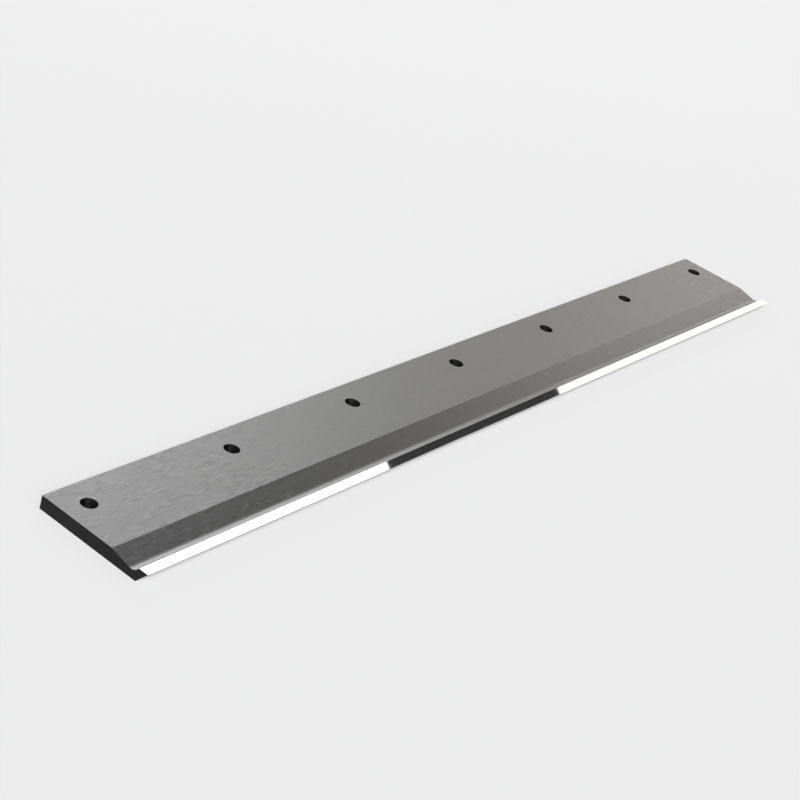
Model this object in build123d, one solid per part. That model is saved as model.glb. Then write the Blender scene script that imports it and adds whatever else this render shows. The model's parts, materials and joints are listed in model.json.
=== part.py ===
from build123d import *
import math
import os

# Counter knife: one hardened and ground steel bar with a row of plain bolt holes.
# X runs along the knife, +Y points to its rear face and +Z is up.
# The origin is on the bottom face, at the centre of the middle bolt hole.

# Driving dimensions, in millimetres and degrees

# Bar
thickness = 8.0
overall_width = 75.0  # from the rear face to the cutting edge

# Bolt holes
hole_count = 7
hole_pitch = 105.0
hole_diameter = 9.0
hole_to_rear = 16.8
hole_to_end = 16.0

# Ground front profile
seat_width = 50.0  # flat clamping seat, from the rear face to the start of the bevel
bevel_angle = 13.5  # fall of the bevel below the seat
hollow_radius = 6.0
land_width = 6.0  # level strip that carries the cutting edge
relief_angle = 40.0  # undercut of the front face, from the vertical

# Broken edges
rear_break = 0.1  # round the rear face
mouth_break = 0.2  # at both mouths of each bolt hole

# Places worked out from the driving dimensions
length = (hole_count - 1) * hole_pitch + 2 * hole_to_end
rear_y = hole_to_rear
seat_front_y = rear_y - seat_width
edge_y = rear_y - overall_width
land_rear_y = edge_y + land_width
bottom_front_y = edge_y + thickness * math.tan(math.radians(relief_angle))


def hollow_start(bevel_start, land_corner, fall):
    """Point of the bevel where the hollow begins.

    The hollow is an arc of hollow_radius that leaves the bevel without a kink
    and ends at the rear corner of the land. Its centre is one radius above the
    bevel line and one radius from that corner.
    """
    above = Vector(fall.Y, -fall.X)
    to_corner = land_corner - bevel_start - above * hollow_radius
    along = to_corner.dot(fall)
    offset_squared = to_corner.dot(to_corner) - along**2
    return bevel_start + fall * (along - math.sqrt(hollow_radius**2 - offset_squared))


def section():
    """Cross-section of the knife, drawn in the YZ plane."""
    fall = Vector(-math.cos(math.radians(bevel_angle)), -math.sin(math.radians(bevel_angle)))
    bevel_start = Vector(seat_front_y, thickness)
    land_corner = Vector(land_rear_y, thickness)
    tangent_point = hollow_start(bevel_start, land_corner, fall)
    with BuildSketch(Plane.YZ) as profile:
        with BuildLine():
            Polyline(
                tangent_point,
                bevel_start,
                (rear_y, thickness),
                (rear_y, 0),
                (bottom_front_y, 0),
                (edge_y, thickness),
                land_corner,
            )
            TangentArc(tangent_point, land_corner, tangent=fall)
        make_face()
    return profile.sketch


def counter_knife():
    """The bar with its ground front profile, bolt holes and broken edges."""
    with BuildPart() as knife:
        extrude(section(), amount=length / 2, both=True)
        rear_face = knife.faces().sort_by(Axis.Y)[-1]
        chamfer(rear_face.edges(), rear_break)
        with GridLocations(hole_pitch, 0, hole_count, 1):
            Hole(hole_diameter / 2)
        mouths = knife.edges().filter_by(GeomType.CIRCLE).filter_by(lambda edge: edge.is_closed)
        chamfer(mouths, mouth_break)
    return knife.part


os.makedirs("parts", exist_ok=True)
knife = counter_knife()
export_step(knife, "parts/counter_knife.step")
print(f"counter_knife: {length:.1f} mm long, {knife.volume / 1000:.2f} cm3")
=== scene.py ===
import json
import math

import bmesh
import bpy
from mathutils import Matrix, Vector


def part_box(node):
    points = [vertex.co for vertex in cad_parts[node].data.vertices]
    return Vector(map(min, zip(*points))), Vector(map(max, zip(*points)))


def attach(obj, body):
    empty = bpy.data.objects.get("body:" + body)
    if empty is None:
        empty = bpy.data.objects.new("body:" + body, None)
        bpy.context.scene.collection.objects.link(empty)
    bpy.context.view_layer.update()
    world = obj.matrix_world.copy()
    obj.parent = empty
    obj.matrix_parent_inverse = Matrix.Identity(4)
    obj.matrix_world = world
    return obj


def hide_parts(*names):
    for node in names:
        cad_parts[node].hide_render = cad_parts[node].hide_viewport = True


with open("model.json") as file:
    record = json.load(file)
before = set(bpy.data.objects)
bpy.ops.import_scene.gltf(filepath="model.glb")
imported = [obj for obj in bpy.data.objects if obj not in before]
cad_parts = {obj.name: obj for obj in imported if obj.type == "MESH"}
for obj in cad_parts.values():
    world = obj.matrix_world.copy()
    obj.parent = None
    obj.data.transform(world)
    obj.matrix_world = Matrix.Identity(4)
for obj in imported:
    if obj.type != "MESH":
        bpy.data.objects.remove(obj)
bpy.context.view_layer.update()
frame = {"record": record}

# Sizes of the bar and its bolt holes, in metres, read from the frame
MM = 0.001
NODE = "counter_knife"
mounts = {mount["name"]: mount for mount in frame["record"]["mounts"]}
low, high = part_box(NODE)
THICKNESS = high.z - low.z
HOLE_RADIUS = mounts["middle_bolt_hole"]["dims"]["r_mm"] * MM
PAIR_SPACINGS = [
    mounts[name]["dims"]["spacing_x_mm"] * MM
    for name in ("inner_bolt_pair", "second_bolt_pair", "outer_bolt_pair")
]
HOLE_XS = [0.0] + [side * spacing / 2 for spacing in PAIR_SPACINGS for side in (-1, 1)]

# Sizes of the ground front profile, as in the solid
SEAT_WIDTH = 50.0 * MM
BEVEL_ANGLE = math.radians(13.5)
HOLLOW_RADIUS = 6.0 * MM
LAND_WIDTH = 6.0 * MM
RELIEF_ANGLE = math.radians(40.0)
REAR_BREAK = 0.1 * MM
MOUTH_BREAK = 0.2 * MM

# Fineness of the mesh
HOLLOW_STEPS = 40
HOLE_STEPS = 96
FLAT_MARGIN = 0.3 * MM  # keeps the bevel flat up to the start of the hollow
SHARP_ANGLE = math.radians(10)

# Marks on the steel: their length along the knife, their width and their depth
STROKE_LENGTH = 6 * MM
STROKE_WIDTH = 1.2 * MM
STROKE_DEPTH = 0.11 * MM
CLUSTER_LENGTH = 14 * MM
CLUSTER_WIDTH = 5 * MM
LINE_LENGTH = 30 * MM
LINE_WIDTH = 0.25 * MM
LINE_DEPTH_SHARE = 0.1  # depth of the fine lines, as a share of the strokes' depth
LAPPING_LENGTH = 60 * MM
LAPPING_WIDTH = 0.3 * MM
MOTTLE_SIZE = 1.2 * MM
MOTTLE_DEPTH = 0.008 * MM

# The grinding strokes fade round a quiet place on the knife
QUIET_X = 50 * MM
QUIET_REACH = 285 * MM  # distance at which the strokes are whole again
QUIET_FADE = 0.3  # share of the reach over which they fade
QUIET_STRENGTH = 0.25  # what is left of them nearer to the place
CLUSTER_GAP = 0.05  # what is left of them between clusters

# Noise lies between 0 and 1, and most of it between the low and the high value here
NOISE_LOW = 0.3
NOISE_MIDDLE = 0.5
NOISE_HIGH = 0.7

# Shades of the steel, and the shares by which the marks change shade and roughness
GROUND_SHADE = (0.56, 0.56, 0.56)
LAPPED_SHADE = (0.92, 0.92, 0.91)
# Near-black steel of the ends and hole mouths: a dark hardened finish, made darker still as painted
# shade
HARDENED_AND_PAINTED_SHADE = (0.0155, 0.0155, 0.016)
# Drilled hole walls, coloured dark as painted shade inside the holes
DRILLED_PAINTED_SHADE = (0.075, 0.075, 0.075)
STROKE_TINT = 0.22
LAPPING_TINT = 0.02
MOTTLE_TINT = 0.22
LINE_ROUGHENING = 0.08
LAPPING_ROUGHENING = 0.15
MOTTLE_ROUGHENING = 0.15

# Camera, from the photograph. Its place and aim are in metres, its lens and sensor in millimetres
CAMERA_PLACE = Vector((-0.8887, -0.4841, 0.5044))
CAMERA_AIM = Vector((-0.0741, -0.0120, 0.0080))
CAMERA_ROLL = math.radians(17.36)
CAMERA_LENS = 80.74
SENSOR_WIDTH = 36.0

# Light. Headings turn from +X towards +Y; headings and elevations are in degrees
KEY_HEADING = 240
KEY_ELEVATION = 46
KEY_SPREAD = math.radians(45)
KEY_STRENGTH = 0.9
FLOOR_LIGHT_HEADING = 212
FLOOR_LIGHT_ELEVATION = 33
FLOOR_LIGHT_SPREAD = math.radians(16)
FLOOR_LIGHT_STRENGTH = 8.35

# Two softboxes in one rolled wall. Their edges are in metres from the middle of the wall,
# which lies in the dark gap between them
GAP_HEADING = 27.3
GAP_ELEVATION = 27.9
WALL_DISTANCE = 2.6
WALL_ROLL = math.radians(43)
REAR_SOFTBOX = {
    "left": 0.205,
    "right": 1.79,
    "lower": -1.4,
    "upper": 0.15,
    "radiance": 1.58,
    "colour": (1.0, 1.0, 1.0),
}
SIDE_SOFTBOX = {
    "left": -1.17,
    "right": -0.18,
    "lower": -0.41,
    "upper": 0.60,
    "radiance": 1.12,
    "colour": (1.02, 0.99, 0.92),
}

# Surroundings. The fade runs between two cosines of the angle from the gap
DIM = 0.04  # on the side of the gap
BRIGHT = 0.8  # on the far side
FADE_START = 0.0
FADE_END = 0.55
BACKDROP_SHADE = (0.78, 0.78, 0.785)

# Floor
FLOOR_HALF = 6.0
FLOOR_LIFT = 0.02 * MM  # lets the knife's bottom face show from below
FLOOR_SHADE = (0.40, 0.40, 0.4025)
FLOOR_ROUGHNESS = 0.9
FLOOR_GLOSS = 0.1


def hollow_arc(bevel_start, land_corner):
    """Points of the hollow, from the end of the bevel to the rear corner of the land.

    The centre of the arc is one radius above the bevel and one from the corner.
    """
    fall = Vector((-math.cos(BEVEL_ANGLE), -math.sin(BEVEL_ANGLE)))
    above = Vector((fall.y, -fall.x))
    to_corner = land_corner - bevel_start - above * HOLLOW_RADIUS
    along = to_corner.dot(fall)
    offset_squared = to_corner.length_squared - along**2
    start = bevel_start + fall * (along - math.sqrt(HOLLOW_RADIUS**2 - offset_squared))
    centre = start + above * HOLLOW_RADIUS
    first = math.atan2(start.y - centre.y, start.x - centre.x)
    last = math.atan2(land_corner.y - centre.y, land_corner.x - centre.x)
    turn = (last - first + math.pi) % (2 * math.pi) - math.pi
    return [
        centre + HOLLOW_RADIUS * Vector((math.cos(angle), math.sin(angle)))
        for angle in (first + turn * step / HOLLOW_STEPS for step in range(HOLLOW_STEPS + 1))
    ]


def section():
    """Corners of the knife's section, as (point, finish of the face that starts there)."""
    top, bottom = high.z, low.z
    bevel_start = Vector((high.y - SEAT_WIDTH, top))
    cutting_edge = Vector((low.y, top))
    land_corner = Vector((low.y + LAND_WIDTH, top))
    heel = Vector((low.y + THICKNESS * math.tan(RELIEF_ANGLE), bottom))
    hollow = hollow_arc(bevel_start, land_corner)
    before_hollow = hollow[0] + (bevel_start - hollow[0]).normalized() * FLAT_MARGIN
    corners = [
        (Vector((high.y, top)), "seat"),
        (bevel_start, "bevel"),
        (before_hollow, "bevel"),
    ]
    corners += [(point, "hollow") for point in hollow[:-1]]
    corners += [
        (land_corner, "land"),
        (cutting_edge, "relief"),
        (heel, "bottom"),
        (Vector((high.y, bottom)), "rear"),
    ]
    return corners


def add_bar(bm, slot):
    """The bar with its ground profile and the broken edges of its rear face."""
    corners = section()
    left, right = (
        [bm.verts.new((x, point.x, point.y)) for point, _ in corners] for x in (low.x, high.x)
    )
    flats = {}
    for index, (_, finish) in enumerate(corners):
        after = (index + 1) % len(corners)
        face = bm.faces.new((left[index], left[after], right[after], right[index]))
        face.material_index = slot[finish]
        flats[finish] = face
    for ring in (left, right):
        bm.faces.new(ring).material_index = slot["end"]
    bmesh.ops.bevel(
        bm,
        geom=list(flats["rear"].edges),
        offset=REAR_BREAK,
        offset_type="OFFSET",
        segments=1,
        affect="EDGES",
        material=slot["edge"],
    )


def circle(bm, centre_x, radius, z):
    """A closed ring of vertices and edges round a bolt hole."""
    ring = [
        bm.verts.new(
            (
                centre_x + radius * math.cos(2 * math.pi * step / HOLE_STEPS),
                radius * math.sin(2 * math.pi * step / HOLE_STEPS),
                z,
            )
        )
        for step in range(HOLE_STEPS)
    ]
    edges = [bm.edges.new((ring[step - 1], ring[step])) for step in range(HOLE_STEPS)]
    return ring, edges


def bore(bm, centre_x, slot):
    """The wall and the two broken mouths of a bolt hole.

    Returns the hole's edges on the bottom and on the top.
    """
    wide = HOLE_RADIUS + MOUTH_BREAK
    levels = [
        (wide, low.z),
        (HOLE_RADIUS, low.z + MOUTH_BREAK),
        (HOLE_RADIUS, high.z - MOUTH_BREAK),
        (wide, high.z),
    ]
    rings = [circle(bm, centre_x, radius, z) for radius, z in levels]
    for (below, _), (above, _), finish in zip(rings, rings[1:], ("mouth", "bore", "mouth")):
        for step in range(HOLE_STEPS):
            face = bm.faces.new((below[step - 1], above[step - 1], above[step], below[step]))
            face.material_index = slot[finish]
    return rings[0][1], rings[-1][1]


def drill(bm, slot):
    """Bores the bolt holes, and draws the seat and the bottom again round their mouths."""
    top_edges, bottom_edges = (
        [edge for face in bm.faces if face.material_index == slot[name] for edge in face.edges]
        for name in ("seat", "bottom")
    )
    plain = [face for face in bm.faces if face.material_index in (slot["seat"], slot["bottom"])]
    bmesh.ops.delete(bm, geom=plain, context="FACES_ONLY")
    for x in HOLE_XS:
        bottom_mouth, top_mouth = bore(bm, x, slot)
        bottom_edges += bottom_mouth
        top_edges += top_mouth
    for name, edges in (("seat", top_edges), ("bottom", bottom_edges)):
        filled = bmesh.ops.triangle_fill(bm, edges=edges, use_beauty=True)
        for face in filled["geom"]:
            if isinstance(face, bmesh.types.BMFace):
                face.material_index = slot[name]


def sort_faces(bm):
    """Puts the faces in one fixed order, so that the mesh is the same each time it is made."""
    places = {face: (face.material_index, *face.calc_center_median()) for face in bm.faces}
    order = {face: index for index, face in enumerate(sorted(bm.faces, key=places.get))}
    bm.faces.sort(key=order.get)


def knife_mesh(materials):
    """The whole knife as one closed mesh, with one material for each finish."""
    slot = {name: index for index, name in enumerate(materials)}
    bm = bmesh.new()
    add_bar(bm, slot)
    drill(bm, slot)
    bmesh.ops.recalc_face_normals(bm, faces=bm.faces)
    sort_faces(bm)
    mesh = bpy.data.meshes.new("ground_knife")
    bm.to_mesh(mesh)
    bm.free()
    for material in materials.values():
        mesh.materials.append(material)
    mesh.shade_smooth()
    mesh.set_sharp_from_angle(angle=SHARP_ANGLE)
    return mesh


def new_material(name):
    """A new node material. Returns it with its node tree and its shader."""
    material = bpy.data.materials.new(name)
    material.use_nodes = True
    tree = material.node_tree
    shader = tree.nodes["Principled BSDF"]
    return material, tree, shader


def streaks(tree, length, width, detail):
    """Noise drawn out along the knife: marks of a length and a width in metres."""
    place = tree.nodes.new("ShaderNodeTexCoord")
    stretch = tree.nodes.new("ShaderNodeMapping")
    stretch.inputs["Scale"].default_value = (1 / length, 1 / width, 1 / width)
    noise = tree.nodes.new("ShaderNodeTexNoise")
    noise.inputs["Scale"].default_value = 1.0
    noise.inputs["Detail"].default_value = detail
    tree.links.new(place.outputs["Object"], stretch.inputs["Vector"])
    tree.links.new(stretch.outputs["Vector"], noise.inputs["Vector"])
    return noise.outputs["Fac"]


def spread(tree, value, lowest, highest):
    """A noise value mapped to a range."""
    ranged = tree.nodes.new("ShaderNodeMapRange")
    ranged.inputs["From Min"].default_value = NOISE_LOW
    ranged.inputs["From Max"].default_value = NOISE_HIGH
    ranged.inputs["To Min"].default_value = lowest
    ranged.inputs["To Max"].default_value = highest
    tree.links.new(value, ranged.inputs["Value"])
    return ranged.outputs["Result"]


def quiet_strength(tree):
    """Strength of the strokes along the knife: whole at its ends, and less round the quiet place."""
    place = tree.nodes.new("ShaderNodeTexCoord")
    offset = tree.nodes.new("ShaderNodeMapping")
    offset.inputs["Location"].default_value = (-QUIET_X / QUIET_REACH, 0, 0)
    offset.inputs["Scale"].default_value = (1 / QUIET_REACH, 0, 0)
    nearness = tree.nodes.new("ShaderNodeTexGradient")
    nearness.gradient_type = "SPHERICAL"
    strength = tree.nodes.new("ShaderNodeMapRange")
    strength.interpolation_type = "SMOOTHSTEP"
    strength.inputs["From Min"].default_value = 0.0
    strength.inputs["From Max"].default_value = QUIET_FADE
    strength.inputs["To Min"].default_value = 1.0
    strength.inputs["To Max"].default_value = QUIET_STRENGTH
    tree.links.new(place.outputs["Object"], offset.inputs["Vector"])
    tree.links.new(offset.outputs["Vector"], nearness.inputs["Vector"])
    tree.links.new(nearness.outputs["Fac"], strength.inputs["Value"])
    return strength.outputs["Result"]


def clustered(tree, value):
    """Noise that stands out in clusters, and fades towards its middle value round the quiet place."""
    clusters = streaks(tree, CLUSTER_LENGTH, CLUSTER_WIDTH, detail=1.0)
    both = tree.nodes.new("ShaderNodeMath")
    both.operation = "MULTIPLY"
    faded = tree.nodes.new("ShaderNodeMix")
    faded.inputs["A"].default_value = NOISE_MIDDLE
    tree.links.new(quiet_strength(tree), both.inputs[0])
    tree.links.new(spread(tree, clusters, CLUSTER_GAP, 1.0), both.inputs[1])
    tree.links.new(both.outputs["Value"], faded.inputs["Factor"])
    tree.links.new(value, faded.inputs["B"])
    return faded.outputs["Result"]


def scratched(tree, shader, roughest, anisotropy):
    """Makes the shader rougher along one direction: across its scratches."""
    shader.inputs["Anisotropic"].default_value = anisotropy
    across = tree.nodes.new("ShaderNodeVectorTransform")
    across.vector_type = "VECTOR"
    across.convert_from = "OBJECT"
    across.convert_to = "WORLD"
    across.inputs["Vector"].default_value = roughest
    tree.links.new(across.outputs["Vector"], shader.inputs["Tangent"])


def tinted(tree, shader, value, shade, change):
    """Lets a noise value darken and lighten the shade by a share of it."""
    tint = tree.nodes.new("ShaderNodeMix")
    tint.data_type = "RGBA"
    tint.inputs["A"].default_value = [tone * (1 - change) for tone in shade] + [1]
    tint.inputs["B"].default_value = [tone * (1 + change) for tone in shade] + [1]
    tree.links.new(spread(tree, value, 0.0, 1.0), tint.inputs["Factor"])
    tree.links.new(tint.outputs["Result"], shader.inputs["Base Color"])


def roughened(tree, shader, value, roughness, change):
    """Lets a noise value lower and raise the roughness by a share of it."""
    rough = spread(tree, value, roughness * (1 - change), roughness * (1 + change))
    tree.links.new(rough, shader.inputs["Roughness"])


def embossed(tree, shader, reliefs):
    """Gives the surface bumps from (noise value, depth) pairs, each on top of the one before."""
    normal = None
    for value, depth in reliefs:
        bump = tree.nodes.new("ShaderNodeBump")
        bump.inputs["Distance"].default_value = depth
        tree.links.new(value, bump.inputs["Height"])
        if normal:
            tree.links.new(normal, bump.inputs["Normal"])
        normal = bump.outputs["Normal"]
    tree.links.new(normal, shader.inputs["Normal"])


def ground_steel(name, roughness, tint=STROKE_TINT, depth=STROKE_DEPTH, anisotropy=0.4):
    """Steel ground along the knife: short strokes over fine lines.

    tint is how far the strokes change the shade, and depth how deep they are.
    """
    material, tree, shader = new_material(name)
    shader.inputs["Metallic"].default_value = 1.0
    scratched(tree, shader, (0, 1, 0), anisotropy)
    strokes = clustered(tree, streaks(tree, STROKE_LENGTH, STROKE_WIDTH, detail=3.0))
    lines = streaks(tree, LINE_LENGTH, LINE_WIDTH, detail=2.0)
    tinted(tree, shader, strokes, GROUND_SHADE, tint)
    roughened(tree, shader, lines, roughness, LINE_ROUGHENING)
    embossed(tree, shader, [(lines, depth * LINE_DEPTH_SHARE), (strokes, depth)])
    return material


def lapped_steel(name, roughness):
    """Steel lapped to a mirror, with the faintest lines left along the knife."""
    material, tree, shader = new_material(name)
    shader.inputs["Metallic"].default_value = 1.0
    lines = streaks(tree, LAPPING_LENGTH, LAPPING_WIDTH, detail=2.0)
    tinted(tree, shader, lines, LAPPED_SHADE, LAPPING_TINT)
    roughened(tree, shader, lines, roughness, LAPPING_ROUGHENING)
    return material


def mottled_steel(name, shade, roughness, metallic):
    """Steel with a slight mottle. Returns it with its node tree and its shader."""
    material, tree, shader = new_material(name)
    shader.inputs["Metallic"].default_value = metallic
    place = tree.nodes.new("ShaderNodeTexCoord")
    noise = tree.nodes.new("ShaderNodeTexNoise")
    noise.inputs["Scale"].default_value = 1 / MOTTLE_SIZE
    noise.inputs["Detail"].default_value = 6.0
    tree.links.new(place.outputs["Object"], noise.inputs["Vector"])
    mottle = noise.outputs["Fac"]
    tinted(tree, shader, mottle, shade, MOTTLE_TINT)
    roughened(tree, shader, mottle, roughness, MOTTLE_ROUGHENING)
    embossed(tree, shader, [(mottle, MOTTLE_DEPTH)])
    return material, tree, shader


def hardened_steel_painted_shade(name, roughness):
    """Steel left dark from hardening, not ground; its near-black colour is partly painted shade."""
    material, _, _ = mottled_steel(name, HARDENED_AND_PAINTED_SHADE, roughness, metallic=0.8)
    return material


def drilled_steel_painted_shade(name, roughness):
    """The wall of a drilled hole, with its tool marks running round it; its dark colour is painted
    shade inside the hole.
    """
    material, tree, shader = mottled_steel(name, DRILLED_PAINTED_SHADE, roughness, metallic=1.0)
    scratched(tree, shader, (0, 0, 1), anisotropy=0.8)
    return material


def knife_finishes():
    """The finish of each kind of face."""
    return {
        "seat": ground_steel("fine_ground_seat", roughness=0.495),
        "bevel": ground_steel("ground_bevel", roughness=0.38, tint=0.34),
        "hollow": ground_steel(
            "ground_hollow", roughness=0.44, tint=0.03, depth=0.005 * MM, anisotropy=0.0
        ),
        "land": lapped_steel("lapped_land", roughness=0.02),
        "relief": ground_steel("ground_relief", roughness=0.38),
        "bottom": ground_steel("fine_ground_bottom", roughness=0.495),
        "rear": ground_steel("ground_rear", roughness=0.45),
        "edge": ground_steel("broken_edge", roughness=0.4),
        # The ends get a near-black colour, partly hardened finish and partly painted shade
        "end": hardened_steel_painted_shade("hardened_end_painted_shade", roughness=0.5),
        # The hole walls get a dark colour as painted shade
        "bore": drilled_steel_painted_shade("bore_painted_shade", roughness=0.45),
        # The hole mouths are coloured near-black as painted shade, in place of the glint they would
        # catch
        "mouth": hardened_steel_painted_shade("mouth_painted_shade", roughness=0.5),
    }


def make_knife():
    """The knife as one piece, in place of the plain solid."""
    knife = bpy.data.objects.new("ground_knife", knife_mesh(knife_finishes()))
    bpy.context.scene.collection.objects.link(knife)
    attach(knife, "root")
    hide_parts(NODE)


def make_floor():
    """A plain pale floor that the knife lies on. Returns it."""
    level = low.z + FLOOR_LIFT
    corners = [
        (-FLOOR_HALF, -FLOOR_HALF, level),
        (FLOOR_HALF, -FLOOR_HALF, level),
        (FLOOR_HALF, FLOOR_HALF, level),
        (-FLOOR_HALF, FLOOR_HALF, level),
    ]
    mesh = bpy.data.meshes.new("floor")
    mesh.from_pydata(corners, [], [(0, 1, 2, 3)])
    floor = bpy.data.objects.new("floor", mesh)
    bpy.context.scene.collection.objects.link(floor)
    material, _, shader = new_material("pale_floor")
    shader.inputs["Base Color"].default_value = (*FLOOR_SHADE, 1)
    shader.inputs["Roughness"].default_value = FLOOR_ROUGHNESS
    shader.inputs["Specular IOR Level"].default_value = FLOOR_GLOSS
    mesh.materials.append(material)
    return floor


def direction(heading, elevation):
    """Unit vector at a heading from +X, turning towards +Y, and an elevation, both in degrees."""
    turn, rise = math.radians(heading), math.radians(elevation)
    return Vector(
        (math.cos(turn) * math.cos(rise), math.sin(turn) * math.cos(rise), math.sin(rise))
    )


def facing(place, aim, roll):
    """Matrix of a camera or light at a place that looks at a point, rolled about its line of sight."""
    turn = (aim - place).to_track_quat("-Z", "Y").to_matrix().to_4x4()
    return Matrix.Translation(place) @ turn @ Matrix.Rotation(roll, 4, "Z")


def sunlight(name, heading, elevation, spread_angle, strength):
    """Even light from one side of the sky. Returns its object."""
    light = bpy.data.lights.new(name, "SUN")
    light.energy = strength
    light.angle = spread_angle
    sun = bpy.data.objects.new(name, light)
    sun.matrix_world = facing(direction(heading, elevation), Vector(), 0)
    bpy.context.scene.collection.objects.link(sun)
    return sun


def softbox(name, wall, left, right, lower, upper, radiance, colour):
    """A rectangular light in a wall of lights. It faces the knife and isn't seen itself."""
    width, height = right - left, upper - lower
    light = bpy.data.lights.new(name, "AREA")
    light.color = colour
    light.shape = "RECTANGLE"
    light.size = width
    light.size_y = height
    light.energy = radiance * math.pi * width * height
    box = bpy.data.objects.new(name, light)
    middle = Vector(((left + right) / 2, (lower + upper) / 2, 0))
    box.matrix_world = wall @ Matrix.Translation(middle)
    box.visible_camera = False
    bpy.context.scene.collection.objects.link(box)


def make_lights(floor):
    """A soft key, a light for the floor alone, and two softboxes side by side with a dark gap.

    The bright land mirrors the softboxes, and the gap shows in it as a dark stretch.
    """
    sunlight("soft_key", KEY_HEADING, KEY_ELEVATION, KEY_SPREAD, KEY_STRENGTH)
    floor_light = sunlight(
        "floor_light",
        FLOOR_LIGHT_HEADING,
        FLOOR_LIGHT_ELEVATION,
        FLOOR_LIGHT_SPREAD,
        FLOOR_LIGHT_STRENGTH,
    )
    lit = bpy.data.collections.new("lit_by_floor_light")
    lit.objects.link(floor)
    floor_light.light_linking.receiver_collection = lit
    gap = direction(GAP_HEADING, GAP_ELEVATION)
    wall = facing(gap * WALL_DISTANCE, Vector(), WALL_ROLL)
    softbox("rear_softbox", wall, **REAR_SOFTBOX)
    softbox("side_softbox", wall, **SIDE_SOFTBOX)


def faded_surroundings(tree):
    """Background that fades from bright to dim towards the gap between the softboxes."""
    surroundings = tree.nodes["Background"]
    surroundings.inputs["Color"].default_value = (1, 1, 1, 1)
    place = tree.nodes.new("ShaderNodeTexCoord")
    nearness = tree.nodes.new("ShaderNodeVectorMath")
    nearness.operation = "DOT_PRODUCT"
    nearness.inputs[1].default_value = direction(GAP_HEADING, GAP_ELEVATION)
    fade = tree.nodes.new("ShaderNodeMapRange")
    fade.interpolation_type = "SMOOTHSTEP"
    fade.inputs["From Min"].default_value = FADE_START
    fade.inputs["From Max"].default_value = FADE_END
    fade.inputs["To Min"].default_value = BRIGHT
    fade.inputs["To Max"].default_value = DIM
    tree.links.new(place.outputs["Generated"], nearness.inputs[0])
    tree.links.new(nearness.outputs["Value"], fade.inputs["Value"])
    tree.links.new(fade.outputs["Result"], surroundings.inputs["Strength"])
    return surroundings.outputs["Background"]


def make_world():
    """The surroundings, and a pale backdrop where the camera looks past the floor."""
    world = bpy.data.worlds.new("studio")
    bpy.context.scene.world = world
    world.use_nodes = True
    tree = world.node_tree
    backdrop = tree.nodes.new("ShaderNodeBackground")
    backdrop.inputs["Color"].default_value = (*BACKDROP_SHADE, 1)
    seen = tree.nodes.new("ShaderNodeLightPath")
    choose = tree.nodes.new("ShaderNodeMixShader")
    tree.links.new(seen.outputs["Is Camera Ray"], choose.inputs["Fac"])
    tree.links.new(faded_surroundings(tree), choose.inputs[1])
    tree.links.new(backdrop.outputs["Background"], choose.inputs[2])
    tree.links.new(choose.outputs["Shader"], tree.nodes["World Output"].inputs["Surface"])


def make_camera():
    """The camera at the photograph's place, aim, roll and lens."""
    camera = bpy.data.objects.new("camera", bpy.data.cameras.new("camera"))
    camera.data.lens = CAMERA_LENS
    camera.data.sensor_width = SENSOR_WIDTH
    camera.matrix_world = facing(CAMERA_PLACE, CAMERA_AIM, CAMERA_ROLL)
    bpy.context.scene.collection.objects.link(camera)
    bpy.context.scene.camera = camera


bpy.context.scene.view_settings.view_transform = "Standard"
make_knife()
make_lights(make_floor())
make_world()
make_camera()
